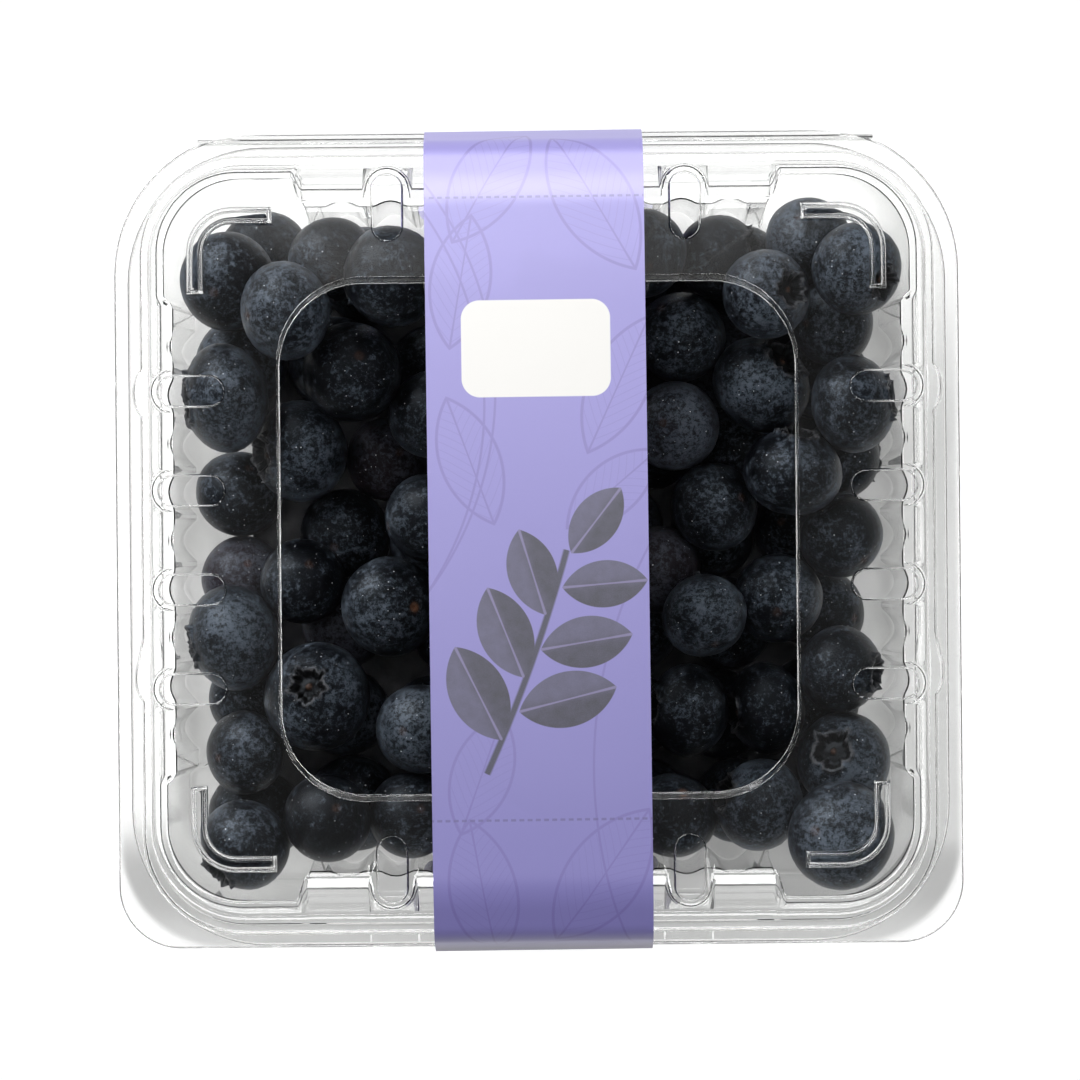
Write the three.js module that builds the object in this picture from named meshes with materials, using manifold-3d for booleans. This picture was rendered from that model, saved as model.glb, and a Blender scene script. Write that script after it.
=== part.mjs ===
// A shut clear punnet of blueberries: a thin formed base tray and its lid, a paper band wrapped
// round both, and the heap of berries inside. Millimetres, +Z up, the front at -Y. The pack stands
// on z = 0 with the origin under the middle of its box.
import * as THREE from "three";
import { mergeVertices } from "three/addons/utils/BufferGeometryUtils.js";
import Module from "manifold-3d";

const wasm = await Module();
wasm.setup();

// ---- driving dimensions ----
const PACK_X = 115; // over the lid's side flanges
const PACK_Y = 111.6; // over the band, front to back
const TRAY_Y = 0.4; // the tray's centre line lies this far behind the pack's middle
const SHEET = 0.45; // clear sheet
const GAP = 0.3; // left between pieces that touch
const FLOOR_Z = 1.65; // upper face of the raised floor
const PAD_Z = 0.45; // upper face of the corner pads that the tray stands on
const BASE_FLANGE_Z = 25.3;
const BASE_RIM_Z = 26.35;
const LID_FLANGE_Z = BASE_FLANGE_Z + GAP + SHEET;
const LID_RIM_Z = BASE_RIM_Z + GAP + SHEET;
const LID_TOP_Z = 36;
const PANEL_Z = 37; // raised middle panel of the lid
const LUG_Z = 37.7; // corner ridges that locate the next punnet of a stack
const BLOCK_HALF = 32.1; // the corner blocks start this far from the middle of each side
const LAST_STATION = 34.5; // furthest point of a side that every outline has
const CORNER_STEPS = 5;

const FLUTE_PITCH = 6.6;
const FLUTE_HALF = 1.9;
const FLUTES_PER_SIDE = 9;

const VENT_PLACES = [-20, -6.65, 6.65, 20]; // along each side
const VENT_RADIUS = 1.9;
const VENT_LENGTH = 8.7;
const VENT_BOSS_RADIUS = 3.2; // at the top
const VENT_BOSS_FOOT = 3.5; // radius at its foot
const VENT_REACH = { side: 49, end: 46.9 }; // from the tray's middle to a boss's axis

const BAND_X = 29.5;
const BAND_SKEW = 0.3; // degrees
const PAPER = 0.3;
const BAND_BOTTOM_Z = 0.4;

const BERRY_CORE_TOP = 9; // the heap's core where no upper berry rests on it

const CLEAR_PET = { color: 0xeef2f4, roughness: 0.08, metalness: 0, transparent: true, opacity: 0.3 };
const LILAC_PAPER = { color: 0x9284c9, roughness: 0.55, metalness: 0 };
const BERRY_SKIN = { color: 0x262b3a, roughness: 0.6, metalness: 0 };

const radians = THREE.MathUtils.degToRad;

// ---- solids ----
function solidFrom(geometry) {
  const bare = geometry.clone();
  bare.deleteAttribute("normal");
  bare.deleteAttribute("uv");
  const merged = mergeVertices(bare, 1e-4);
  const mesh = new wasm.Mesh({
    numProp: 3,
    vertProperties: new Float32Array(merged.attributes.position.array),
    triVerts: new Uint32Array(merged.index.array),
  });
  return new wasm.Manifold(mesh);
}

function geometryFrom(solid) {
  const { vertProperties, numProp, triVerts } = solid.getMesh();
  const count = vertProperties.length / numProp;
  const positions = new Float32Array(count * 3);
  for (let i = 0; i < count; i++) {
    positions.set(vertProperties.subarray(i * numProp, i * numProp + 3), i * 3);
  }
  const geometry = new THREE.BufferGeometry();
  geometry.setAttribute("position", new THREE.BufferAttribute(positions, 3));
  geometry.setIndex(new THREE.BufferAttribute(new Uint32Array(triVerts), 1));
  geometry.computeVertexNormals();
  return geometry;
}

function upright(radiusTop, radiusBottom, z0, z1, sides) {
  const geometry = new THREE.CylinderGeometry(radiusTop, radiusBottom, z1 - z0, sides);
  return geometry.rotateX(Math.PI / 2).translate(0, 0, (z0 + z1) / 2);
}

function uprightPrism(shape, z0, z1, curveSegments) {
  const options = { depth: z1 - z0, bevelEnabled: false, curveSegments };
  return new THREE.ExtrudeGeometry(shape, options).translate(0, 0, z0);
}

// ---- outlines of the tray and the lid ----
// A ring is a rounded rectangle at one height: half width x, the distances back and front from the
// pack's middle, and the corner radii rb and rf. recessX and recessY draw the stretches between the
// corner blocks inwards, flute is the depth of the wall's flutes there, padZ is the height at the
// corner pads, and hinge cuts the outline off square at the back.
const FLUTE_CENTRES = Array.from({ length: FLUTES_PER_SIDE }, (_, i) => {
  return (i - (FLUTES_PER_SIDE - 1) / 2) * FLUTE_PITCH;
});
const PLAIN = stations([]);
const FACING_FLUTES = stations(FLUTE_CENTRES.map((centre) => [centre, 0]));
const BETWEEN_FLUTES = stations(FLUTE_CENTRES.slice(1).map((centre) => [centre - FLUTE_PITCH / 2, 0]));
const FLUTED = stations(
  FLUTE_CENTRES.flatMap((centre) =>
    [[-1, 0], [-0.55, 1], [0.55, 1], [1, 0]].map(([share, bulge]) => [centre + share * FLUTE_HALF, bulge]),
  ),
);
const STEPPED = [-32.7, -31.5, 31.5, 32.7].map((along) => ({ along, bulge: 0 }));

function stations(inner) {
  const rows = [[-LAST_STATION, 0], [-31.4, 0], ...inner, [31.4, 0], [LAST_STATION, 0]];
  return rows.map(([along, bulge]) => ({ along, bulge }));
}

// The share of the recess that is left at a place along a side: none at the corner blocks.
function recessShare(along, stepped) {
  const distance = Math.abs(along);
  if (stepped) return distance < BLOCK_HALF ? 1 : 0;
  return THREE.MathUtils.clamp((39.9 - distance) / 8.5, 0, 1);
}

// The points of a ring, counter-clockwise from the right side, each with its share t of the way.
function outline(ring) {
  const { x, back, front, rb, rf, z, stations = STEPPED, recessX = 0, recessY = 0, flute = 0 } = ring;
  const stepped = stations === STEPPED;
  const points = [];
  const place = (px, py, pz, t) => {
    points.push({ x: px, y: Math.min(py, ring.hinge ?? Infinity), z: pz, t });
  };
  const corners = [[1, 1, rb], [-1, 1, rb], [-1, -1, rf], [1, -1, rf]];
  for (let side = 0; side < 4; side++) {
    const turn = (side * Math.PI) / 2;
    const [along, out] = [new THREE.Vector2(0, 1), new THREE.Vector2(1, 0)].map((v) =>
      v.rotateAround(new THREE.Vector2(), turn),
    );
    const reach = [x, back - TRAY_Y, x, front + TRAY_Y][side];
    const recess = side % 2 ? recessY : recessX;
    const straight = side % 2 ? x - Math.max(rb, rf) : Math.min(back - rb, front - rf);
    const squeeze = Math.min(1, straight / (LAST_STATION + 1.5));
    for (const station of stations) {
      const s = station.along * squeeze;
      const share = recessShare(station.along, stepped);
      const d = reach - recess * share + flute * station.bulge;
      const height = share > 0.5 ? z : ring.padZ ?? z;
      const t = side * 2 + 0.5 + (0.49 * station.along) / LAST_STATION;
      place(along.x * s + out.x * d, along.y * s + out.y * d + TRAY_Y, height, t);
    }
    const [cx, cy, r] = corners[side];
    const centreX = cx * (x - r);
    const centreY = cy > 0 ? back - r : r - front;
    for (let step = 0; step <= CORNER_STEPS; step++) {
      const angle = turn + (step / CORNER_STEPS) * (Math.PI / 2);
      const t = side * 2 + 1 + step / CORNER_STEPS;
      place(centreX + r * Math.cos(angle), centreY + r * Math.sin(angle), ring.padZ ?? z, t);
    }
  }
  return points;
}

// The same rings one sheet thickness below: the section's outline, from the rim to the middle,
// moved along its mitred normals.
function sheetBelow(rings) {
  const normals = rings.slice(1).map((ring, i) => {
    const d = new THREE.Vector2(ring.x - rings[i].x, ring.z - rings[i].z).normalize();
    return new THREE.Vector2(d.y, -d.x);
  });
  return rings.map((ring, i) => {
    const before = normals[Math.max(i - 1, 0)];
    const after = normals[Math.min(i, normals.length - 1)];
    const mitre = before.clone().add(after).normalize();
    mitre.multiplyScalar(-SHEET / Math.max(mitre.dot(after), 0.6));
    const lower = { ...ring, z: ring.z + mitre.y };
    for (const key of ["x", "back", "front", "rb", "rf"]) lower[key] += mitre.x;
    if (ring.padZ !== undefined) lower.padZ = ring.padZ + mitre.y;
    return lower;
  });
}

// Triangles between an outer and an inner loop that run the same way round.
function zip(faces, outer, inner) {
  let i = 0;
  let j = 0;
  const next = (loop, k) => loop[(k + 1) % loop.length].t + (k + 1 >= loop.length ? 8 : 0);
  while (i < outer.length || j < inner.length) {
    const takeOuter = j >= inner.length || (i < outer.length && next(outer, i) <= next(inner, j));
    const a = outer[i % outer.length].index;
    const b = inner[j % inner.length].index;
    if (takeOuter) faces.push(a, outer[(i + 1) % outer.length].index, b);
    else faces.push(a, inner[(j + 1) % inner.length].index, b);
    if (takeOuter) i++;
    else j++;
  }
}

// A solid bounded by an upper and a lower stack of rings, each from the rim to the middle.
function stackSolid(upperRings, lowerRings) {
  const positions = [];
  const faces = [];
  const addPoint = (p) => positions.push(p.x, p.y, p.z) / 3 - 1;
  const addLoop = (ring) => outline(ring).map((p) => ({ t: p.t, index: addPoint(p) }));
  const [upper, lower] = [upperRings, lowerRings].map((rings) => rings.map(addLoop));
  for (let i = 0; i + 1 < upper.length; i++) zip(faces, upper[i], upper[i + 1]);
  const under = [];
  for (let i = 0; i + 1 < lower.length; i++) zip(under, lower[i], lower[i + 1]);
  zip(faces, lower[0], upper[0]);
  for (const [loop, ring, list] of [
    [upper.at(-1), upperRings.at(-1), faces],
    [lower.at(-1), lowerRings.at(-1), under],
  ]) {
    const centre = addPoint({ x: 0, y: TRAY_Y, z: ring.z });
    loop.forEach((p, k) => list.push(p.index, loop[(k + 1) % loop.length].index, centre));
  }
  for (let i = 0; i < under.length; i += 3) faces.push(under[i + 1], under[i], under[i + 2]);
  const geometry = new THREE.BufferGeometry();
  geometry.setAttribute("position", new THREE.BufferAttribute(new Float32Array(positions), 3));
  geometry.setIndex(faces);
  return solidFrom(geometry);
}

// ---- base tray ----
const WALL_RECESS = { recessX: 1.3, recessY: 4 };

function baseTray() {
  const rings = [
    { x: 55.7, back: 53.8, front: 54.9, rb: 18.5, rf: 18.5, z: BASE_FLANGE_Z },
    { x: 53.2, back: 51.7, front: 52.3, rb: 13.2, rf: 13.2, z: BASE_FLANGE_Z },
    { x: 52.8, back: 51.3, front: 51.9, rb: 12.8, rf: 12.8, z: BASE_RIM_Z },
    { x: 50.8, back: 49.6, front: 48.8, rb: 10.9, rf: 10.9, z: BASE_RIM_Z, flute: 1 },
    { x: 49.3, back: 48.1, front: 47.3, rb: 9.6, rf: 9.6, z: FLOOR_Z, padZ: PAD_Z, flute: 2 },
    { x: 39, back: 38, front: 37.2, rb: 6, rf: 6, z: FLOOR_Z, padZ: PAD_Z },
    { x: 38, back: 37, front: 36.2, rb: 5.5, rf: 5.5, z: FLOOR_Z },
  ];
  rings.forEach((ring, i) => {
    ring.stations = [PLAIN, PLAIN, FACING_FLUTES, FLUTED, FLUTED, BETWEEN_FLUTES, PLAIN][i];
    if (ring.flute) Object.assign(ring, WALL_RECESS);
  });
  return geometryFrom(stackSolid(rings, sheetBelow(rings)));
}

// ---- lid ----
const LID_RINGS = [
  { x: PACK_X / 2, back: 56, front: 55.2, rb: 19.5, rf: 8.5, z: LID_FLANGE_Z, hinge: 54.3 },
  { x: 54.2, back: 52.9, front: 53.5, rb: 13.9, rf: 13.9, z: LID_FLANGE_Z },
  { x: 53.8, back: 52.4, front: 53, rb: 13.5, rf: 13.5, z: LID_RIM_Z },
  { x: 52.6, back: 51, front: 50.6, rb: 12.4, rf: 12.4, z: LID_RIM_Z },
  { x: 51.2, back: 49.9, front: 49.1, rb: 10.9, rf: 10.9, z: LID_TOP_Z - 0.5, recessX: 0.5, recessY: 2.4 },
  { x: 50.6, back: 49.3, front: 48.5, rb: 10.3, rf: 10.3, z: LID_TOP_Z - 0.1, recessX: 0.5, recessY: 2.4 },
  { x: 34.9, back: 35.5, front: 34.8, rb: 11.6, rf: 11.6, z: LID_TOP_Z + 0.1 },
  { x: 34.1, back: 34.2, front: 33.5, rb: 10.8, rf: 10.8, z: PANEL_Z },
];

// Turns a piece made at the right side round to one of the four sides, at a place along it.
function toSide(geometry, side, place) {
  const reach = side % 2 ? VENT_REACH.end : VENT_REACH.side;
  geometry.translate(reach, place, 0).rotateZ((side * Math.PI) / 2);
  return solidFrom(geometry.translate(0, TRAY_Y, 0));
}

function ventSlot() {
  const inner = VENT_RADIUS * 2 - VENT_LENGTH;
  const shape = new THREE.Shape();
  shape.absarc(0, 0, VENT_RADIUS, -Math.PI / 2, Math.PI / 2, false);
  shape.absarc(inner, 0, VENT_RADIUS, Math.PI / 2, Math.PI * 1.5, false);
  return uprightPrism(shape, LID_TOP_Z - 1.5, LID_TOP_Z + 1, 2);
}

// One L-shaped ridge, on the back right corner of the lid's top.
function cornerLug() {
  const [x, y, width, radius, armX, armY] = [46.9, 44.6, 2.2, 6, 35.5, 33];
  const shape = new THREE.Shape();
  shape.moveTo(x, armY);
  shape.absarc(x - radius, y - radius, radius, 0, Math.PI / 2, false);
  shape.lineTo(armX, y);
  shape.lineTo(armX, y - width);
  shape.absarc(x - radius, y - radius, radius - width, Math.PI / 2, 0, true);
  shape.lineTo(x - width, armY);
  return uprightPrism(shape, LID_TOP_Z - 0.3, LUG_Z, 3);
}

function lid() {
  const lower = sheetBelow(LID_RINGS);
  let solid = stackSolid(LID_RINGS, lower);
  const hollow = lower.slice(3);
  const cavity = stackSolid(hollow, [{ ...hollow[0], z: LID_RIM_Z - 2 }]);
  const cuts = [];
  for (let side = 0; side < 4; side++) {
    for (const place of VENT_PLACES) {
      const boss = upright(VENT_BOSS_RADIUS, VENT_BOSS_FOOT, LID_RIM_Z - 0.1, LID_TOP_Z - 0.05, 8);
      solid = solid.add(toSide(boss, side, place).subtract(cavity));
      const wall = upright(
        VENT_BOSS_RADIUS - SHEET,
        VENT_BOSS_FOOT - SHEET,
        LID_RIM_Z - SHEET,
        LID_TOP_Z - 0.05 - SHEET,
        8,
      );
      cuts.push(toSide(wall, side, place), toSide(ventSlot(), side, place));
    }
  }
  for (const cut of cuts) solid = solid.subtract(cut);
  for (const [sx, sy] of [[1, 1], [-1, 1], [-1, -1], [1, -1]]) {
    const lug = solidFrom(cornerLug());
    const mirrored = sx < 0 ? lug.mirror([1, 0, 0]) : lug;
    solid = solid.add((sy < 0 ? mirrored.mirror([0, 1, 0]) : mirrored).translate(0, TRAY_Y, 0));
  }
  const hinge = new THREE.BoxGeometry(92, 0.8, LID_FLANGE_Z - BASE_FLANGE_Z + SHEET);
  hinge.translate(0, 54.5, (LID_FLANGE_Z + BASE_FLANGE_Z - SHEET) / 2);
  return geometryFrom(solid.add(solidFrom(hinge)));
}

// ---- paper band ----
// Its section runs over the lid's panel, down to the edges of the flanges and under the floor.
function bandOutline(grow) {
  const half = PACK_Y / 2 - PAPER;
  const side = [
    [half - 7.9, BAND_BOTTOM_Z + PAPER, 2],
    [half, BASE_FLANGE_Z - 0.7, 1],
    [half, LID_FLANGE_Z + 0.7, 1],
    [half - 3.7, LID_TOP_Z + 0.75, 3.5],
    [35.6, PANEL_Z + GAP, 3],
  ];
  const corners = [...side, ...side.toReversed().map(([y, z, r]) => [-y, z, r])];
  const points = corners.map(([y, z]) => new THREE.Vector2(y, z));
  const path = new THREE.Path();
  corners.forEach(([, , r], k) => {
    const here = points[k];
    const toLast = points.at(k - 1).clone().sub(here).normalize();
    const toNext = points[(k + 1) % points.length].clone().sub(here).normalize();
    const outwards = toLast.clone().add(toNext).negate().normalize();
    const spread = Math.sqrt((1 - toLast.dot(toNext)) / 2);
    const corner = here.clone().addScaledVector(outwards, grow / spread);
    const start = corner.clone().addScaledVector(toLast, r);
    const end = corner.clone().addScaledVector(toNext, r);
    if (k) path.lineTo(start.x, start.y);
    else path.moveTo(start.x, start.y);
    path.quadraticCurveTo(corner.x, corner.y, end.x, end.y);
  });
  return path.getPoints(3);
}

function band() {
  const shape = new THREE.Shape(bandOutline(PAPER));
  shape.holes.push(new THREE.Path(bandOutline(0)));
  const options = { depth: BAND_X, bevelEnabled: false };
  const geometry = new THREE.ExtrudeGeometry(shape, options).translate(0, 0, -BAND_X / 2);
  geometry.rotateX(Math.PI / 2).rotateZ(Math.PI / 2);
  return geometry.rotateZ(radians(BAND_SKEW));
}

// ---- berries ----
// The berries that show from above: place x and y, width across, and level, 0 on the floor and 2 on
// top. Where the stalk's or the crown's end shows, length over width along that axis and the crown's
// direction in plan follow.
const SHOWN_BERRIES = [
  [-40.9, 36, 13.6, 1],
  [-35.1, 32, 13.4, 2],
  [-25.5, 39, 11.9, 1],
  [-21.2, 36.6, 13.8, 2],
  [-25.5, 23.3, 13.7, 2],
  [-43.2, 20.1, 15.2, 2, 0.76, -0.98, -0.1],
  [-33.4, 12.2, 14.2, 2, 0.88, -0.9, -0.1],
  [-41.1, 7, 12.2, 0],
  [-26, 1.6, 12.6, 0],
  [-13, 16.3, 12.5, 1],
  [-21, 10.3, 12, 0],
  [-15.6, 3, 12, 1],
  [-41.3, -5, 12, 0],
  [-32.3, -5.6, 11.8, 2],
  [-21, -9.1, 13.7, 2, 0.93, -0.87, 0.1],
  [-42, -13, 14.6, 2, 0.85, -0.97, -0.2],
  [-40.3, -21.5, 12, 0],
  [-31, -21.3, 14.8, 2, 0.92, -0.16, 0.28],
  [-40.4, -29.4, 11.6, 1],
  [-15.8, -26.3, 12.4, 2],
  [-39.2, -40.9, 12.6, 1, 0.94, -0.66, -0.66],
  [-27.1, -38.2, 12.2, 1],
  [-16.6, -38.5, 12, 1],
  [13.6, 39.9, 12.2, 2],
  [25.3, 40.1, 12, 2, 0.94, 0.9, 0.2],
  [37.8, 42.2, 12, 1],
  [30.7, 33.6, 12.2, 2, 0.94, 0.6, 0.08],
  [43.5, 36.1, 12.6, 2, 0.94, 0.6, -0.38],
  [40.8, 28.1, 12, 1],
  [20.4, 27.8, 12.8, 1],
  [30.1, 21.4, 13.8, 2, 0.88, 0.55, 0.6],
  [43.1, 19.5, 13.7, 2, 0.82, 0.97, 0.15],
  [18.8, 15.7, 12.4, 2],
  [34.5, 8.6, 13.8, 2, 0.85, 0.15, 0.95],
  [41.5, 10.2, 11.6, 0],
  [23.9, 3.5, 12.2, 1],
  [41, 0.7, 12, 1],
  [16.4, -2.7, 12, 1],
  [22.4, -10, 11.8, 1],
  [32.2, -8.6, 12.4, 1],
  [39, -10, 12, 0],
  [20.9, -23.6, 12.8, 1, 0.84, -0.95, 0.1],
  [31, -23.4, 12.5, 1, 0.84, -0.95, -0.1],
  [41.2, -19.2, 12.2, 1, 0.9, 0.93, -0.1],
  [40.7, -31.1, 13.2, 1, 0.94, -0.33, 0.28],
  [41.2, -40, 14.8, 2],
  [28, -36.8, 13, 1, 0.88, -0.9, 0.3],
  [19.4, -40.9, 12, 1, 0.92, 0.22, 0.6],
];
const BAND_ROWS = 7; // of two berries each, under the band
const BAND_ROW_PITCH = 13;
const BAND_COLUMN = 5.9; // from the middle of the band to a column's centre line
const BAND_COLUMN_BEND = 1.6; // of every other row, to either side
const LEVEL_Z = [7.5, 15, 21];
const LOWER_PITCH = [13.4, 12.5]; // of the layer under them, in x and y
const LOWER_STAGGER = 1.2; // of every other row, to either side
const LOWER_JITTER = 2.4;
const LOWER_HOLD = 0.08;
const LOWER_CLEARANCE = 9; // a place of that layer this near a shown berry on the floor stays empty
const SETTLE_STEPS = 240;
const FALL = 0.12; // of a berry in the first step
const HOLD = 0.25; // share of the way back to its place in the first step
const BERRY_GAP = 0.6; // kept to the tray and the lid
const POLYGON_SWELL = 1.05; // a few-sided berry is this much larger, to keep its volume

// Seeded random numbers from 0 to 1.
function randomStream(seed) {
  let state = seed;
  return () => {
    state = (state * 16807) % 2147483647;
    return state / 2147483647;
  };
}

function berry(x, y, width, level, aspect, ax, ay, up, hold) {
  const az = up * Math.sqrt(Math.max(0, 1 - ax * ax - ay * ay));
  return { home: [x, y], p: [x, y, LEVEL_Z[level]], r: width / 2, aspect, axis: [ax, ay, az], hold, level };
}

// A berry whose ends don't show, lying any way.
function hiddenBerry(random, x, y, width, level, hold) {
  const aspect = 0.86 + 0.1 * random();
  const turn = 2 * Math.PI * random();
  const lean = 0.3 + 0.65 * random();
  return berry(x, y, width, level, aspect, lean * Math.cos(turn), lean * Math.sin(turn), -1, hold);
}

function upperBerries(random) {
  const made = SHOWN_BERRIES.map((row) => {
    const [x, y, width, level] = row;
    return row.length > 4 ? berry(...row, 1, HOLD) : hiddenBerry(random, x, y, width, level, HOLD);
  });
  for (let row = 0; row < BAND_ROWS; row++) {
    for (const side of [-1, 1]) {
      const x = side * BAND_COLUMN + (row % 2 ? BAND_COLUMN_BEND : -BAND_COLUMN_BEND);
      const y = (row - (BAND_ROWS - 1) / 2) * BAND_ROW_PITCH + TRAY_Y + (random() - 0.5) * 3;
      made.push(hiddenBerry(random, x, y, 11.9 + 1.4 * random(), 1, HOLD));
    }
  }
  return made;
}

function lowerBerries(random, upper) {
  const made = [];
  for (let row = -3; row <= 3; row++) {
    for (let column = -3; column <= 3; column++) {
      const stagger = row % 2 ? LOWER_STAGGER : -LOWER_STAGGER;
      const x = column * LOWER_PITCH[0] + stagger + (random() - 0.5) * LOWER_JITTER;
      const y = row * LOWER_PITCH[1] + TRAY_Y + (random() - 0.5) * LOWER_JITTER;
      const lower = hiddenBerry(random, x, y, 11.6 + 1.8 * random(), 0, LOWER_HOLD);
      const crowded = upper.some((b) => {
        return b.level === 0 && Math.hypot(b.home[0] - x, b.home[1] - y) < LOWER_CLEARANCE;
      });
      if (!crowded) made.push(lower);
    }
  }
  return made;
}

// How far a berry, a flattened ball, reaches from its centre in a unit direction.
function reachOf(b, direction) {
  const along = b.axis[0] * direction[0] + b.axis[1] * direction[1] + b.axis[2] * direction[2];
  return b.r * Math.sqrt(1 - (1 - b.aspect * b.aspect) * along * along);
}

// The furthest that a berry's centre may lie towards a wall, given the wall's distance and how much
// of it is recessed along the way.
function wallLimit(wall, recess, along, reach) {
  const limits = [-0.8, -0.5, 0, 0.5, 0.8].map((offset) => {
    const there = wall - recess * recessShare(along + offset * reach, false);
    return there - reach * Math.sqrt(1 - offset * offset);
  });
  return Math.min(...limits);
}

function keepInTray(b) {
  const [reachX, reachY, reachZ] = [[1, 0, 0], [0, 1, 0], [0, 0, 1]].map((d) => reachOf(b, d));
  const lean = THREE.MathUtils.clamp((26 - b.p[2]) / 24, 0, 1) * 1.5 + BERRY_GAP;
  const [blockX, blockY] = [50.8 - lean, 49.2 - lean];
  const limitX = wallLimit(blockX, 1.3, b.p[1] - TRAY_Y, reachX);
  const limitY = wallLimit(blockY, 4, b.p[0], reachY);
  b.p[0] = THREE.MathUtils.clamp(b.p[0], -limitX, limitX);
  b.p[1] = THREE.MathUtils.clamp(b.p[1] - TRAY_Y, -limitY, limitY);
  const cornerX = Math.abs(b.p[0]) - (blockX - 10.9);
  const cornerY = Math.abs(b.p[1]) - (blockY - 10.9);
  const limit = 10.9 - Math.max(reachX, reachY);
  const distance = Math.sqrt(cornerX * cornerX + cornerY * cornerY);
  if (cornerX > 0 && cornerY > 0 && distance > limit) {
    b.p[0] -= Math.sign(b.p[0]) * cornerX * (1 - limit / distance);
    b.p[1] -= Math.sign(b.p[1]) * cornerY * (1 - limit / distance);
  }
  b.p[1] += TRAY_Y;
  const [lowest, highest] = [FLOOR_Z + BERRY_GAP + reachZ, LID_TOP_Z - SHEET - BERRY_GAP - reachZ];
  b.p[2] = THREE.MathUtils.clamp(b.p[2], lowest, highest);
}

function pushApart(a, b) {
  const d = [b.p[0] - a.p[0], b.p[1] - a.p[1], b.p[2] - a.p[2]];
  const distance = Math.sqrt(d[0] * d[0] + d[1] * d[1] + d[2] * d[2]);
  if (distance > a.r + b.r || distance < 1e-6) return;
  const unit = d.map((v) => v / distance);
  const overlap = reachOf(a, unit) + reachOf(b, unit) - distance;
  if (overlap <= 0) return;
  for (let k = 0; k < 3; k++) {
    a.p[k] -= (unit[k] * overlap) / 2;
    b.p[k] += (unit[k] * overlap) / 2;
  }
}

function settledBerries() {
  const random = randomStream(77);
  const upper = upperBerries(random);
  const berries = [...upper, ...lowerBerries(random, upper)];
  for (let step = 0; step < SETTLE_STEPS; step++) {
    const ease = 1 - step / SETTLE_STEPS;
    for (const b of berries) {
      b.p[0] += (b.home[0] - b.p[0]) * b.hold * ease;
      b.p[1] += (b.home[1] - b.p[1]) * b.hold * ease;
      b.p[2] -= FALL * ease;
    }
    for (let i = 0; i < berries.length; i++) {
      for (let j = i + 1; j < berries.length; j++) pushApart(berries[i], berries[j]);
    }
    for (const b of berries) keepInTray(b);
  }
  return berries;
}

// A few-sided berry: a turned profile, dimpled at the crown, with its axis along +Z.
function berryGeometry(b) {
  const sides = b.level ? 7 : 5;
  const profile = b.level
    ? [[0, -1], [0.77, -0.66], [0.99, 0.16], [0.5, 0.88], [0, 0.72]]
    : [[0, -1], [0.78, -0.62], [0.96, 0.34], [0, 0.97]];
  const points = profile.map(([r, h]) => new THREE.Vector2(r * b.r, h * b.r * b.aspect));
  const geometry = new THREE.LatheGeometry(points, sides).rotateX(Math.PI / 2);
  geometry.scale(POLYGON_SWELL, POLYGON_SWELL, POLYGON_SWELL);
  const turn = new THREE.Quaternion();
  turn.setFromUnitVectors(new THREE.Vector3(0, 0, 1), new THREE.Vector3(...b.axis).normalize());
  return geometry.applyQuaternion(turn).translate(...b.p);
}

// The heap's core: a block whose uneven top follows the berries that lie on it.
function berryCore(berries) {
  const [halfX, halfY, bottom] = [43.5, 39.5, 5.5];
  const box = new THREE.BoxGeometry(2 * halfX, 2 * halfY, 1, 9, 9, 1);
  const position = box.attributes.position;
  for (let i = 0; i < position.count; i++) {
    const x = position.getX(i);
    const y = position.getY(i) + TRAY_Y;
    let top = BERRY_CORE_TOP;
    for (const b of berries) {
      const under = Math.hypot(b.p[0] - x, b.p[1] - y) < b.r * 0.9;
      if (b.p[2] > BERRY_CORE_TOP + 2 && under) top = Math.max(top, b.p[2] - 0.4 * b.r);
    }
    position.setXYZ(i, x, y, position.getZ(i) < 0 ? bottom : top);
  }
  return solidFrom(box);
}

function berryHeap() {
  const berries = settledBerries();
  let solid = berryCore(berries);
  for (const b of berries) solid = solid.add(solidFrom(berryGeometry(b)));
  return geometryFrom(largestBody(solid));
}

function largestBody(solid) {
  const bodies = solid.decompose();
  bodies.sort((a, b) => b.volume() - a.volume());
  return bodies[0];
}

// ---- the pack ----
function piece(name, geometry, look) {
  const mesh = new THREE.Mesh(geometry, new THREE.MeshStandardMaterial(look));
  mesh.name = name;
  return mesh;
}

const group = new THREE.Group();
group.add(
  piece("base_tray", baseTray(), CLEAR_PET),
  piece("lid", lid(), CLEAR_PET),
  piece("paper_band", band(), LILAC_PAPER),
  piece("berries", berryHeap(), BERRY_SKIN),
);

export default group;
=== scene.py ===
import math

import bpy
import numpy as np
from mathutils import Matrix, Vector


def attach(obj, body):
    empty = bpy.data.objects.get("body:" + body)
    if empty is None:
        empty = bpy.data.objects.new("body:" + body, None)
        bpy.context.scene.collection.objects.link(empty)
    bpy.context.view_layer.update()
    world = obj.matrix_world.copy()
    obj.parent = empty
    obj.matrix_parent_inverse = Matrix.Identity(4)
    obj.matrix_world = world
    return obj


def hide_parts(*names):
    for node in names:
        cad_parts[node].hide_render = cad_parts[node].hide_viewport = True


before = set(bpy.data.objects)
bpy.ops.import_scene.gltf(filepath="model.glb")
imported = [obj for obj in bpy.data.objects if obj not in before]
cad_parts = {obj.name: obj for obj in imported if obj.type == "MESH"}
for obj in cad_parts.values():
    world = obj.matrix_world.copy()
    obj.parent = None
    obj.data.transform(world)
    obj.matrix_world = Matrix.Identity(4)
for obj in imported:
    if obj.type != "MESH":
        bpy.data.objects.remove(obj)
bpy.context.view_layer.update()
scene = bpy.context.scene

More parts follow.
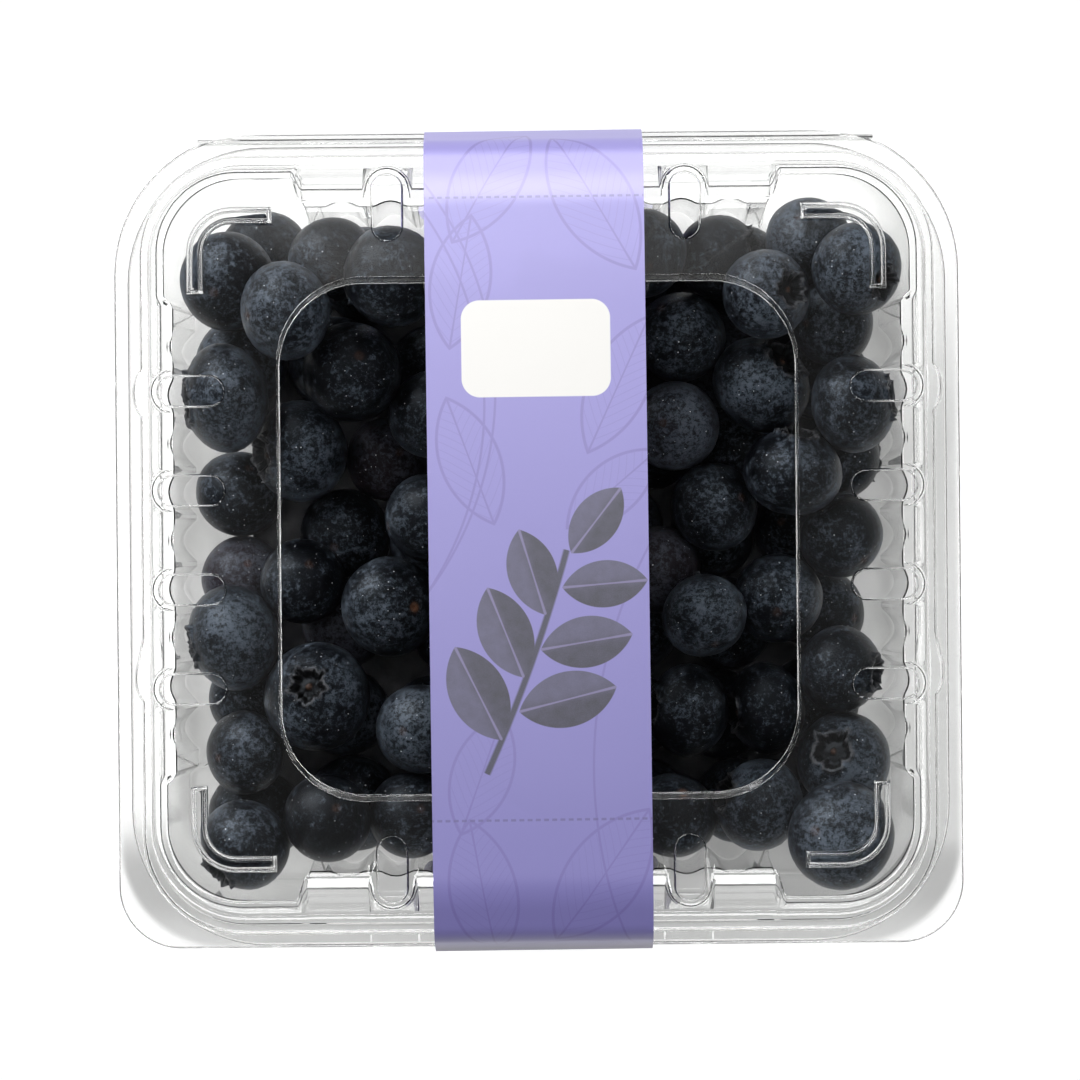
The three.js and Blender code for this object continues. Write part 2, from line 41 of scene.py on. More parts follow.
MM = 0.001
TRAY_Y = 0.4  # the tray's centre line lies this far behind the pack's middle
SHEET = 0.22  # thickness of the clear sheet
FLOOR_Z = 1.65  # of the tray's floor, which is raised between its corner pads
LID_TOP_Z = 36.0  # of the lid's top round its middle panel
PANEL_Z = 37.0
CORNER_STEPS = 16
SMOOTH_ANGLE = 35  # degrees between faces, above which their edge looks sharp


# ---- meshes ----
def smoothstep(value):
    t = np.clip(value, 0, 1)
    return t * t * (3 - 2 * t)


def fade(past, soft):
    """1 up to an edge, and 0 from a soft step past it."""
    return 1 - smoothstep(past / soft)


def bend(start, corner, end, steps):
    """Points of the smooth bend that takes the place of a corner."""
    shares = [i / steps for i in range(steps + 1)]
    return [(1 - t) ** 2 * start + 2 * t * (1 - t) * corner + t * t * end for t in shares]


def arc(x, y, radius, angles):
    """Points on a circle round a middle."""
    return [(x + radius * math.cos(a), y + radius * math.sin(a)) for a in angles]


def direction(degrees):
    return math.cos(math.radians(degrees)), math.sin(math.radians(degrees))


def new_object(name, points, faces, smooth_angle=SMOOTH_ANGLE):
    """A mesh object from points in millimetres."""
    mesh = bpy.data.meshes.new(name)
    mesh.from_pydata([tuple(MM * c for c in p) for p in points], [], faces)
    mesh.update()
    mesh.shade_smooth()
    if smooth_angle:
        mesh.set_sharp_from_angle(angle=math.radians(smooth_angle))
    made = bpy.data.objects.new(name, mesh)
    scene.collection.objects.link(made)
    return made


def bake_modifiers(made, smooth_angle=SMOOTH_ANGLE):
    """Puts the result of the object's modifiers into its mesh."""
    bpy.context.view_layer.update()
    graph = bpy.context.evaluated_depsgraph_get()
    mesh = bpy.data.meshes.new_from_object(made.evaluated_get(graph))
    made.modifiers.clear()
    made.data = mesh
    if smooth_angle:
        mesh.shade_smooth()
        mesh.set_sharp_from_angle(angle=math.radians(smooth_angle))
    return made


def keep_flat(made):
    """Lets large faces set the normals, so that flat ones look flat."""
    step = made.modifiers.new("normals", "WEIGHTED_NORMAL")
    step.keep_sharp = True
    return bake_modifiers(made, None)


def thicken(made, thickness, offset=-1):
    """Gives an open surface the thickness of its sheet, below or above it."""
    solid = made.modifiers.new("sheet", "SOLIDIFY")
    solid.thickness = thickness * MM
    solid.offset = offset
    solid.use_quality_normals = True
    return bake_modifiers(made)


def combine(made, cutters, operation):
    """Adds or cuts away helper objects, which are deleted afterwards."""
    for cutter in cutters:
        step = made.modifiers.new(operation, "BOOLEAN")
        step.operation = operation
        step.solver = "MANIFOLD"
        step.object = cutter
    bake_modifiers(made)
    for cutter in cutters:
        bpy.data.objects.remove(cutter)


def joined(name, objects):
    """One object out of several that don't touch."""
    points, faces = [], []
    for part in objects:
        start = len(points)
        points += [tuple(c / MM for c in v.co) for v in part.data.vertices]
        faces += [[start + i for i in p.vertices] for p in part.data.polygons]
        bpy.data.objects.remove(part)
    return new_object(name, points, faces)


def ring_faces(rings, count):
    """The faces that join each ring of points to the next one."""
    faces = []
    for i in range(rings - 1):
        a, b = i * count, (i + 1) * count
        faces += [(a + j, a + (j + 1) % count, b + (j + 1) % count, b + j) for j in range(count)]
    return faces


def prism(name, loops):
    """A closed solid through loops of points, from its top loop to its bottom one."""
    count = len(loops[0])
    faces = [tuple(range(count))]
    faces += [quad[::-1] for quad in ring_faces(len(loops), count)]
    faces.append(tuple(range((len(loops) - 1) * count, len(loops) * count))[::-1])
    return new_object(name, [p for loop in loops for p in loop], faces)


# ---- the outlines of tray and lid ----
# A key ring is a rounded rectangle at one height: half width x, the distances back and front from
# the pack's middle, and the corner radii rb and rf. Between the corner blocks its height is z and
# the outline lies rx or ry further in; at the blocks its height is block. flute is the depth of the
# wall's flutes, boss the radius of the vents' bosses, snap the reach of the snap bumps, and hinge
# cuts the outline off square at the back.
FIELDS = "x back front rb rf z block rx ry flute boss snap hinge".split()
X_FIELD, Z_FIELD = FIELDS.index("x"), FIELDS.index("z")
NO_HINGE = 99
BLOCK_START, BLOCK_STEP = 31.5, 1.4  # along a side, the start and length of the step to a block
SIDE_HALF = 36  # a side whose straight part is shorter has its stations closer together
FLUTE_PITCH, FLUTE_HALF = 6.6, 1.75
FLUTE_SPREAD = 0.65  # a flute's half width grows by this share of its depth
FLUTE_ROUND = 1.25  # exponent of its profile
FLUTE_CENTRES = (np.arange(9) - 4) * FLUTE_PITCH
VENT_PLACES = (-20, -6.65, 6.65, 20)
VENT_REACH = (49, 46.9)  # from the tray's middle to a boss's axis, at the sides and at the ends
VENT_RADIUS, VENT_LENGTH = 1.9, 8.7
SNAP_PLACES = (20.1, -18.7)  # of the snap bumps along each side
SNAP_HALF, SNAP_ROUND = 3.1, 0.7


def key(x, back, front, rb, rf, z, rounding=0, **more):
    """A key ring, and how far from it the bend begins that rounds its edge."""
    values = dict(x=x, back=back, front=front, rb=rb, rf=rf, z=z, block=z, hinge=NO_HINGE)
    values.update(more)
    return rounding, np.array([values.get(f, 0) for f in FIELDS], float)


def rounded(keys, steps=4):
    """The rings of a section, with the edges between its key rings rounded."""
    rings = [keys[0][1]]
    for (_, last), (rounding, here), (_, following) in zip(keys, keys[1:], keys[2:]):
        if rounding == 0:
            rings.append(here)
            continue
        ends = []
        for other in (last, following):
            away = other - here
            length = math.hypot(away[X_FIELD], away[Z_FIELD])
            ends.append(here + away * min(0.45, rounding / max(length, 1e-6)))
        rings += bend(ends[0], here, ends[1], steps)
    rings.append(keys[-1][1])
    return rings


def humps(along, places, half, exponent):
    """Rounded humps at some places along a side, 1 high."""
    height = np.zeros(len(along))
    for place in places:
        u = np.clip(1 - ((along - place) / half) ** 2, 0, 1)
        height = np.maximum(height, u**exponent)
    return height


def side_points(k, side, stations):
    """The points of one side of a ring; side 0 is the right one and 1 the back."""
    end = side % 2
    if end:
        straight = k["x"] - max(k["rb"], k["rf"])
    else:
        straight = min(k["back"] - k["rb"], k["front"] - k["rf"])
    along = stations * min(1, straight / SIDE_HALF)
    share = fade(np.abs(stations) - BLOCK_START, BLOCK_STEP)
    flute_half = FLUTE_HALF + FLUTE_SPREAD * k["flute"]
    flutes = humps(stations, FLUTE_CENTRES, flute_half, FLUTE_ROUND)
    reach = [k["x"], k["back"] - TRAY_Y, k["x"], k["front"] + TRAY_Y][side]
    out = reach - (k["ry"] if end else k["rx"]) * share + k["flute"] * flutes
    if k["boss"] > 0:
        for place in VENT_PLACES:
            inside = np.clip(k["boss"] ** 2 - (along - place) ** 2, 0, None)
            bulge = np.where(inside > 0, VENT_REACH[end] + np.sqrt(inside), 0)
            out = np.maximum(out, bulge)
    if not end:
        places = [place if side == 0 else -place for place in SNAP_PLACES]
        out = out + k["snap"] * humps(along, places, SNAP_HALF, SNAP_ROUND)
    height = k["block"] + (k["z"] - k["block"]) * share
    turn = side * math.pi / 2
    points = []
    for s, d, z in zip(along, out, height):
        x = -math.sin(turn) * s + math.cos(turn) * d
        y = math.cos(turn) * s + math.sin(turn) * d + TRAY_Y
        points.append((x, min(y, k["hinge"]), z))
    return points


def corner_points(k, side):
    """The points of the corner that follows a side of a ring."""
    right, back = ((1, 1), (-1, 1), (-1, -1), (1, -1))[side]
    r = k["rb"] if back > 0 else k["rf"]
    mid_x = right * (k["x"] - r)
    mid_y = k["back"] - r if back > 0 else r - k["front"]
    turn = side * math.pi / 2
    angles = [turn + step / CORNER_STEPS * math.pi / 2 for step in range(CORNER_STEPS + 1)]
    return [(x, min(y, k["hinge"]), k["block"]) for x, y in arc(mid_x, mid_y, r, angles)]


def ring_points(ring, stations):
    """Points of a ring, counter-clockwise from the right side."""
    k = dict(zip(FIELDS, ring))
    points = []
    for side in range(4):
        points += side_points(k, side, stations) + corner_points(k, side)
    return points


def shell(name, keys, stations):
    """A closed sheet through the rings, open only at its rim."""
    rings = [ring_points(ring, stations) for ring in rounded(keys)]
    count = len(rings[0])
    faces = ring_faces(len(rings), count)
    faces.append([(len(rings) - 1) * count + j for j in range(count)])
    return new_object(name, [p for ring in rings for p in ring], faces)


def side_stations(centres, half, samples, extra):
    """Places along a side where outlines have a point, close together at the given features."""
    wave = np.sin(np.linspace(-math.pi / 2, math.pi / 2, samples))
    step = [BLOCK_START + BLOCK_STEP * share for share in (0, 0.25, 0.5, 0.75, 1)] + [34.5]
    places = [c + half * w for c in centres for w in wave] + list(extra)
    places += [sign * s for s in step for sign in (-1, 1)]
    return np.unique(np.round(places, 3))


# ---- tray ----
RECESS_X, RECESS_Y = 1.3, 4  # how far the walls lie further in between the corner blocks


def base_tray():
    top = 26.35
    wall = dict(rx=RECESS_X, ry=RECESS_Y)
    keys = [
        key(55.75, 53.85, 54.95, 18.55, 18.55, 24.9),
        key(55.6, 53.7, 54.8, 18.4, 18.4, 25.3, 0.2),
        key(53.05, 51.6, 52.15, 13.05, 13.05, 25.3, 0.25),
        key(52.9, 51.45, 52.0, 12.9, 12.9, top, 0.25),
        key(51.5, 50.2, 49.8, 11.5, 11.5, top, 0.3, rx=0.4, ry=1.6),
        key(51.35, 50.05, 49.6, 11.35, 11.35, top - 0.8, 0.08, block=top, rx=0.4, ry=1.9),
        key(50.8, 49.6, 48.8, 10.9, 10.9, top - 0.8, 0.12, block=top, flute=0.72, **wall),
        key(49.3, 48.1, 47.3, 9.6, 9.6, FLOOR_Z, 1.0, block=0.45, flute=1.95, **wall),
        key(39, 38, 37.2, 6, 6, FLOOR_Z, 0.5, block=0.45),
        key(38, 37, 36.2, 5.5, 5.5, FLOOR_Z, 0.5),
        key(31, 30, 29.2, 6, 6, FLOOR_Z, 0.3),
        key(30.6, 29.6, 28.8, 5.6, 5.6, FLOOR_Z + 0.35, 0.3),
        key(28, 27, 26.2, 5, 5, FLOOR_Z + 0.35),
    ]
    between = (FLUTE_CENTRES[1:] + FLUTE_CENTRES[:-1]) / 2
    stations = side_stations(FLUTE_CENTRES, half=3.02, samples=15, extra=between)
    return keep_flat(thicken(shell("base_tray_clear", keys, stations), SHEET))


# ---- lid ----
COLLAR_Z = 35.75  # of the foot of the raised collars round the vents
LUG_TOP_Z = 37.65
LUG_SHEET = 0.42  # the corner ridges' own thickness
HINGE_HALF, HINGE_Z = 46, 25.42


def stadium(radius, steps=12):
    """The outline of a vent's slot, its outer end at the boss's axis."""
    inner = 2 * VENT_RADIUS - VENT_LENGTH
    angles = np.linspace(-math.pi / 2, math.pi / 2, steps + 1)
    return arc(0, 0, radius, angles) + arc(inner, 0, -radius, angles)


def placed(loop, z, side, place):
    """An outline, drawn at the right side round x 0, moved to its place along one of the sides."""
    turn = side * math.pi / 2
    points = []
    for x, y in loop:
        d, s = x + VENT_REACH[side % 2], y + place
        px = math.cos(turn) * d - math.sin(turn) * s
        py = math.sin(turn) * d + math.cos(turn) * s + TRAY_Y
        points.append((px, py, z))
    return points


def lug_outline(inset, steps=8):
    """The L-shaped ridge on the back right corner of the lid's top."""
    x, y, width, radius, arm_x, arm_y = 46.9, 44.6, 2.2, 6, 35.5, 33
    mid_x, mid_y = x - radius, y - radius
    quarter = np.linspace(0, math.pi / 2, steps + 1)
    outer, inner = radius - inset, radius - width + inset
    points = [(x - inset, arm_y + inset)] + arc(mid_x, mid_y, outer, quarter)
    points += [(arm_x + inset, y - inset), (arm_x + inset, y - width + inset)]
    points += arc(mid_x, mid_y, inner, quarter[::-1])
    return points + [(x - width + inset, arm_y + inset)]


def lug(sx, sy, inset, top, bottom):
    """A ridge with a rounded upper edge, mirrored to the corner sx, sy."""
    rows = [(inset + 0.45, top), (inset + 0.2, top - 0.08), (inset + 0.05, top - 0.25)]
    rows += [(inset, top - 0.5), (inset, bottom)]
    loops = []
    for more, z in rows:
        loop = [(sx * x, sy * y + TRAY_Y, z) for x, y in lug_outline(more)]
        loops.append(loop if sx * sy > 0 else loop[::-1])
    return prism("lug", loops)


def hinge_strip():
    """The folded strip that joins the lid's flange to the tray's at the back."""
    angles = np.linspace(math.radians(80), math.radians(-80), 9)
    section = arc(54.35, HINGE_Z, 0.6, angles) + arc(54.3, HINGE_Z, 0.3, angles[::-1])
    loops = [[(x, y, z) for y, z in section] for x in (-HINGE_HALF, HINGE_HALF)]
    return prism("hinge", loops)


def lid():
    wall_top = dict(rx=0.5, ry=2.4)
    chamfer = dict(rx=1.1, ry=3.3)
    keys = [
        key(57.5, 56, 55.2, 19.5, 8.5, 25.75, hinge=54.3),
        key(57.35, 55.85, 55.05, 19.35, 8.35, 26.05, 0.15, hinge=54.2),
        key(54.05, 52.75, 53.35, 13.8, 13.8, 26.05, 0.25, snap=1.1),
        key(53.9, 52.5, 53.1, 13.6, 13.6, 27.1, 0.25, snap=0.95),
        key(52.6, 51, 50.6, 12.4, 12.4, 27.1, 0.5, boss=3.5),
        key(51.25, 49.95, 49.15, 10.95, 10.95, 33.8, 0.15, block=34.3, boss=3.3, **wall_top),
        key(51.2, 49.9, 49.1, 10.9, 10.9, 34.4, 0.2, block=34.9, boss=3.25, **wall_top),
        key(50.4, 49.1, 48.3, 10.1, 10.1, 35.4, 0.35, block=35.5, boss=2.9, **chamfer),
        key(44.6, 43.6, 42.9, 9, 9, 35.7),
        key(34.92, 35.5, 34.8, 11.6, 11.6, 36.1, 0.14),
        key(34.75, 34.8, 34.1, 11.3, 11.3, PANEL_Z, 0.26),
        key(32, 32, 31.3, 9.4, 9.4, PANEL_Z),
    ]
    between = (0, 13.3, -13.3, 26, -26, 29, -29)
    stations = side_stations(VENT_PLACES, half=3.45, samples=17, extra=between)
    made = thicken(shell("lid_clear", keys, stations), SHEET)
    collars, slots = [], []
    for side in range(4):
        for place in VENT_PLACES:
            rows = [(0.05, 0.3), (0.2, 0.22), (0.32, 0), (0.32, -0.6)]
            loops = [placed(stadium(VENT_RADIUS + w), COLLAR_Z + z, side, place) for w, z in rows]
            collars.append(prism("collar", loops))
            hole = [placed(stadium(VENT_RADIUS), z, side, place) for z in (37, 33.8)]
            slots.append(prism("slot", hole))
    signs = [(1, 1), (-1, 1), (-1, -1), (1, -1)]
    ridges = [lug(sx, sy, inset=0, top=LUG_TOP_Z, bottom=35.3) for sx, sy in signs]
    hollows = [lug(sx, sy, inset=LUG_SHEET, top=37.25, bottom=34.5) for sx, sy in signs]
    combine(made, [joined("collars", collars), joined("ridges", ridges), hinge_strip()], "UNION")
    combine(made, [joined("slots", slots), joined("hollows", hollows)], "DIFFERENCE")
    return keep_flat(made)


# ---- paper band ----
BAND_X = 29.5
BAND_SKEW = 0.3  # degrees
PAPER = 0.3  # its thickness
PAPER_SAG = 0.05  # of the waves in its upper part
PRINT_UNIT = 100  # millimetres to one unit of the print's UV map
BAND_CORNERS = [  # y, z and the length of the bend's legs, of the band's inner face
    (47.6, 0.7, 2.4),
    (55.5, 24.5, 1.1),
    (55.5, 26.75, 1.1),
    (53.4, 34.4, 1.8),
    (47.4, 37.05, 2.4),
    (35.6, 37.3, 4),
]


def stretch(start, end, steps):
    """Points on a straight stretch, without its ends."""
    return [start + (end - start) * t for t in np.linspace(0, 1, steps + 1)[1:-1]]


def band_path():
    """The closed section of the band's inner face, from the back of its top round the floor."""
    corners = BAND_CORNERS[::-1] + [(-y, z, r) for y, z, r in BAND_CORNERS]
    path = []
    count = len(corners)
    for i in range(count):
        here = np.array(corners[i][:2])
        ends = []
        for other in (corners[i - 1], corners[(i + 1) % count]):
            way = np.array(other[:2]) - here
            ends.append(here + way / np.linalg.norm(way) * corners[i][2])
        if path:
            path += stretch(path[-1], ends[0], 7)
        path += bend(ends[0], here, ends[1], 8)
    return path + stretch(path[-1], path[0], 25)


def paper_band():
    path = band_path()
    count = len(path)
    lengths = [np.linalg.norm(path[(i + 1) % count] - path[i]) for i in range(count)]
    around = np.cumsum([0] + lengths)
    on_top = [i for i in range(count) if path[i][1] > LID_TOP_Z]
    top = min(on_top, key=lambda i: abs(path[i][0]))
    turn = math.radians(BAND_SKEW)
    across = np.linspace(-BAND_X / 2, BAND_X / 2, 13)
    points, faces, corner_uv = [], [], []
    for y, z in path:
        for x in across:
            lift = PAPER_SAG * math.sin(x * 0.21 + y * 0.13) * (z > 30)
            px = x * math.cos(turn) - y * math.sin(turn)
            points.append((px, x * math.sin(turn) + y * math.cos(turn), z + lift))
    wide = len(across)
    for i in range(count):
        run = (around[i] - around[top] + around[-1] / 2) % around[-1] - around[-1] / 2
        for j in range(wide - 1):
            a, b = i * wide + j, (i + 1) % count * wide + j
            faces.append((a, a + 1, b + 1, b))
            for v, col in ((0, j), (0, j + 1), (lengths[i], j + 1), (lengths[i], j)):
                corner_uv.append((across[col] / PRINT_UNIT, (run + v) / PRINT_UNIT))
    made = new_object("paper_band_printed", points, faces, 60)
    layer = made.data.uv_layers.new(name="print")
    layer.data.foreach_set("uv", np.array(corner_uv, np.float32).ravel())
    return thicken(made, PAPER, offset=1)


# ---- berries ----
# Place x and y, width across, and level, 0 on the floor and 2 on top. Where the crown's end shows,
# length over width along that axis and the crown's direction in plan follow, with a last -1 where
# the crown points down and the stalk's scar shows.
SHOWN_BERRIES = [
    (-40.9, 36, 13.6, 1),
    (-35.1, 32, 13.4, 2),
    (-25.5, 39, 11.9, 1),
    (-21.2, 36.6, 13.8, 2),
    (-25.5, 23.3, 13.7, 2),
    (-43.2, 20.1, 15.2, 2, 0.76, -0.98, -0.1),
    (-33.4, 12.2, 14.2, 2, 0.88, -0.9, -0.1),
    (-41.1, 7, 12.2, 0),
    (-26, 1.6, 12.6, 0),
    (-13, 16.3, 12.5, 1),
    (-21, 10.3, 12, 0),
    (-15.6, 3, 12, 1),
    (-41.3, -5, 12, 0),
    (-32.3, -5.6, 11.8, 2),
    (-21, -9.1, 13.7, 2, 0.93, -0.57, 0, -1),
    (-42, -13, 14.6, 2, 0.85, -0.97, -0.2),
    (-40.3, -21.5, 12, 0),
    (-31, -21.3, 14.8, 2, 0.92, -0.16, 0.28),
    (-40.4, -29.4, 11.6, 1),
    (-15.8, -26.3, 12.4, 2),
    (-39.2, -40.9, 12.6, 1, 0.94, -0.66, -0.66),
    (-27.1, -38.2, 12.2, 1),
    (-16.6, -38.5, 12, 1),
    (13.6, 39.9, 12.2, 2),
    (25.3, 40.1, 12, 2, 0.94, 0.9, 0.2),
    (37.8, 42.2, 12, 1),
    (30.7, 33.6, 12.2, 2, 0.94, 0.6, 0.08),
    (43.5, 36.1, 12.6, 2, 0.94, 0.6, -0.38),
    (40.8, 28.1, 12, 1),
    (20.4, 27.8, 12.8, 1),
    (30.1, 21.4, 13.8, 2, 0.88, 0.55, 0.6),
    (43.1, 19.5, 13.7, 2, 0.82, 0.97, 0.15),
    (18.8, 15.7, 12.4, 2),
    (34.5, 8.6, 13.8, 2, 0.85, 0.15, 0.95),
    (41.5, 10.2, 11.6, 0),
    (23.9, 3.5, 12.2, 1),
    (41, 0.7, 12, 1),
    (16.4, -2.7, 12, 1),
    (22.4, -10, 11.8, 1),
    (32.2, -8.6, 12.4, 1),
    (39, -10, 12, 0),
    (20.9, -23.6, 12.8, 1, 0.84, -0.95, 0.1),
    (31, -23.4, 12.5, 1, 0.84, -0.95, -0.1),
    (41.2, -19.2, 12.2, 1, 0.9, 0.93, -0.1),
    (40.7, -31.1, 13.2, 1, 0.94, -0.33, 0.28),
    (41.2, -40, 14.8, 2),
    (28, -36.8, 13, 1, 0.88, -0.9, 0.3),
    (19.4, -40.9, 12, 1, 0.92, -0.22, -0.6, -1),
]
BAND_ROWS, BAND_ROW_PITCH = 7, 13  # rows of two berries each, under the band
BAND_COLUMN, BAND_COLUMN_BEND = 5.9, 1.6
BAND_JITTER = 3
LEVEL_Z = (7.5, 15, 21)  # where the berries of each level start
LOWER_PITCH = (13.4, 12.5)  # of the layer under them
LOWER_REACH = 3  # rows and columns on each side of the middle one
LOWER_STAGGER, LOWER_JITTER, LOWER_CLEARANCE = 1.2, 2.4, 9
HOLD, LOWER_HOLD = 0.25, 0.08  # share of the way back to its place in the first step
SETTLE_STEPS = 240
FALL = 0.12  # of a berry in the first step
BERRY_GAP = 0.6  # kept to the tray and the lid
SETTLE_SEED, UPPER_SEED, LOWER_SEED = 77, 11, 12
# The tray's inside, as the berries meet it: half sizes and corner radius at the rim; where a side's
# recess ends, and the length of its slope; the height below which the walls lean in, the height
# over which they do, and how far.
TRAY_HALF_X, TRAY_HALF_Y, TRAY_CORNER = 50.8, 49.2, 10.9
RECESS_END, RECESS_SLOPE = 39.9, 8.5
LEAN_TOP, LEAN_HEIGHT, LEAN = 26, 24, 1.5
LID_SHEET = 0.45  # of the solid lid, which is thicker than the sheet here


def random_stream(seed):
    """Seeded random numbers from 0 to 1."""
    state = seed
    while True:
        state = (state * 16807) % 2147483647
        yield state / 2147483647


def drawn(draw, low, spread):
    return low + spread * next(draw)


class Berry:
    """A flattened ball, with its crown at one end of its axis and the stalk's scar at the other."""

    def __init__(self, x, y, width, level, aspect, ax, ay, up=1, hold=HOLD, scarred=1.0):
        self.home = (x, y)
        self.place = [x, y, LEVEL_Z[level]]
        self.radius = width / 2
        self.axis = np.array((ax, ay, up * math.sqrt(max(0, 1 - ax * ax - ay * ay))))
        self.level, self.aspect, self.hold, self.scarred = level, aspect, hold, scarred

    def reach(self, dx, dy, dz):
        """How far it reaches from its centre in a unit direction."""
        ax, ay, az = self.axis
        along = ax * dx + ay * dy + az * dz
        return self.radius * math.sqrt(1 - (1 - self.aspect**2) * along * along)

    def keep_in_tray(self):
        """Moves it back inside the walls, over the floor and under the lid."""
        p = self.place
        reach_x, reach_y, reach_z = self.reach(1, 0, 0), self.reach(0, 1, 0), self.reach(0, 0, 1)
        lean = min(1, max(0, (LEAN_TOP - p[2]) / LEAN_HEIGHT)) * LEAN + BERRY_GAP
        block_x, block_y = TRAY_HALF_X - lean, TRAY_HALF_Y - lean
        limit_x = wall_limit(block_x, RECESS_X, p[1] - TRAY_Y, reach_x)
        limit_y = wall_limit(block_y, RECESS_Y, p[0], reach_y)
        p[0] = min(limit_x, max(-limit_x, p[0]))
        p[1] = min(limit_y, max(-limit_y, p[1] - TRAY_Y))
        corner_x = abs(p[0]) - (block_x - TRAY_CORNER)
        corner_y = abs(p[1]) - (block_y - TRAY_CORNER)
        limit = TRAY_CORNER - max(reach_x, reach_y)
        distance = math.hypot(corner_x, corner_y)
        if corner_x > 0 and corner_y > 0 and distance > limit:
            p[0] -= math.copysign(corner_x * (1 - limit / distance), p[0])
            p[1] -= math.copysign(corner_y * (1 - limit / distance), p[1])
        p[1] += TRAY_Y
        highest = LID_TOP_Z - LID_SHEET - BERRY_GAP - reach_z
        p[2] = min(highest, max(p[2], FLOOR_Z + BERRY_GAP + reach_z))


def wall_limit(wall, recess, along, reach):
    """How far a berry's centre may lie towards a wall that is recessed on a part of its length."""
    limits = []
    for offset in (-0.8, -0.5, 0, 0.5, 0.8):
        share = min(1, max(0, (RECESS_END - abs(along + offset * reach)) / RECESS_SLOPE))
        limits.append(wall - recess * share - reach * math.sqrt(1 - offset * offset))
    return min(limits)


def hidden_berry(draw, x, y, width, level, hold=HOLD):
    """A berry whose ends don't show, lying any way."""
    aspect = drawn(draw, 0.86, 0.1)
    turn = 2 * math.pi * next(draw)
    lean = drawn(draw, 0.3, 0.65)
    ax, ay = lean * math.cos(turn), lean * math.sin(turn)
    return Berry(x, y, width, level, aspect, ax, ay, -1, hold, scarred=0.15)


def upper_berries(draw):
    """The berries that show, and under the band two columns of others."""
    made = [Berry(*row) if len(row) > 4 else hidden_berry(draw, *row) for row in SHOWN_BERRIES]
    for row in range(BAND_ROWS):
        for side in (-1, 1):
            x = side * BAND_COLUMN + (BAND_COLUMN_BEND if row % 2 else -BAND_COLUMN_BEND)
            y = (row - (BAND_ROWS - 1) / 2) * BAND_ROW_PITCH + TRAY_Y
            y += (next(draw) - 0.5) * BAND_JITTER
            made.append(hidden_berry(draw, x, y, drawn(draw, 11.9, 1.4), 1))
    return made


def lower_berries(draw, upper):
    """Uneven rows of berries, left out where one that shows lies on the floor."""
    made = []
    for row in range(-LOWER_REACH, LOWER_REACH + 1):
        for column in range(-LOWER_REACH, LOWER_REACH + 1):
            x = column * LOWER_PITCH[0] + (LOWER_STAGGER if row % 2 else -LOWER_STAGGER)
            x += (next(draw) - 0.5) * LOWER_JITTER
            y = row * LOWER_PITCH[1] + TRAY_Y + (next(draw) - 0.5) * LOWER_JITTER
            lower = hidden_berry(draw, x, y, drawn(draw, 11.6, 1.8), 0, LOWER_HOLD)
            away = [math.dist(b.home, (x, y)) for b in upper if b.level == 0]
            if min(away) >= LOWER_CLEARANCE:
                made.append(lower)
    return made


def push_apart(a, b):
    """Moves two berries that overlap away from each other, until they touch."""
    pa, pb = a.place, b.place
    dx, dy, dz = pb[0] - pa[0], pb[1] - pa[1], pb[2] - pa[2]
    span = a.radius + b.radius
    if abs(dx) > span or abs(dy) > span:
        return
    distance = math.sqrt(dx * dx + dy * dy + dz * dz)
    if distance > span or distance < 1e-6:
        return
    unit = (dx / distance, dy / distance, dz / distance)
    overlap = a.reach(*unit) + b.reach(*unit) - distance
    if overlap > 0:
        for k in range(3):
            pa[k] -= unit[k] * overlap / 2
            pb[k] += unit[k] * overlap / 2


def settled_berries():
    """The upper and the lower berries, pushed apart and held in the tray until they touch."""
    draw = random_stream(SETTLE_SEED)
    upper = upper_berries(draw)
    berries = upper + lower_berries(draw, upper)
    for step in range(SETTLE_STEPS):
        ease = 1 - step / SETTLE_STEPS
        for b in berries:
            for k in (0, 1):
                b.place[k] += (b.home[k] - b.place[k]) * b.hold * ease
            b.place[2] -= FALL * ease
        for i, b in enumerate(berries):
            for other in berries[i + 1 :]:
                push_apart(b, other)
        for b in berries:
            b.keep_in_tray()
    return upper, berries[len(upper) :]


CROWN_AT = 0.38  # the crown's radius, for a berry of radius 1
BERRY_MARKS = ("berry_tint", "berry_crown", "berry_scar")
# Angles from the crown's middle to the first and last rings of points on the crown and the body.
CROWN_RINGS, BODY_RINGS = (0.05, 0.62), (0.68, math.pi - 0.24)
SCAR_RINGS = (0.17, 0.12, 0.07, 0.02)  # angles from the scar's middle


def ridge_at(away, width):
    """1 on a line, falling off on both sides."""
    return np.exp(-((away / width) ** 2))


